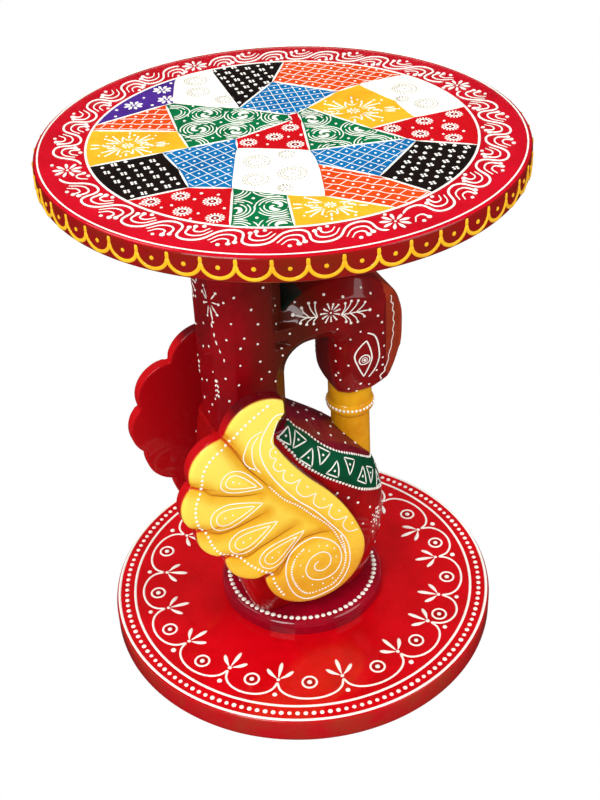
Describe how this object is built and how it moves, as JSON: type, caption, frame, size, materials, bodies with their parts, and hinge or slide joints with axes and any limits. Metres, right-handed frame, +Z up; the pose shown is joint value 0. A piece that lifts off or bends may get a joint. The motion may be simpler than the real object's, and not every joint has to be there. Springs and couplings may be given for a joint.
{
  "type": "low side table",
  "caption": "Low round side table: a painted wooden top carried by a carved bird with spread wings, standing on a round base.",
  "frame": {"origin": "centre of the base's underside, on the floor", "axes": "+X the way the bird faces, +Y to its left, +Z up"},
  "size_m": [0.3048, 0.3048, 0.3935],
  "materials": {
    "base_paint": "glossy red enamel on wood with raised white line ornament",
    "plinth_paint": "glossy maroon enamel on wood with raised white dots",
    "body_paint": "glossy maroon enamel on carved wood with a green band and white ornament",
    "post_paint": "glossy maroon enamel on carved wood with white dots and sprays",
    "head_paint": "glossy maroon enamel on carved wood with white ornament",
    "beak_paint": "glossy orange-yellow enamel on turned wood",
    "wing_paint": "glossy yellow enamel with washed grooves outside, red inside and on the edge",
    "top_paint": "glossy enamel in patches of many colours with raised white line ornament",
    "dowel_wood": "plain beech",
    "screw_steel": "zinc plated",
    "plug_filler": "filler, painted over"
  },
  "bodies": {
    "root": {"base_board_left": "base_paint", "base_board_centre": "base_paint", "base_board_right": "base_paint", "plinth": "plinth_paint", "body": "body_paint", "neck_post": "post_paint", "neck_and_head": "head_paint", "beak": "beak_paint", "wing_left": "wing_paint", "wing_right": "wing_paint", "top_board_left": "top_paint", "top_board_centre": "top_paint", "top_board_right": "top_paint", "wing_dowels_left": "dowel_wood", "wing_dowels_right": "dowel_wood", "neck_dowels": "dowel_wood", "beak_dowel": "dowel_wood", "base_screws": "screw_steel", "top_screws": "screw_steel", "top_screw_plugs": "plug_filler"}
  },
  "joints": []
}
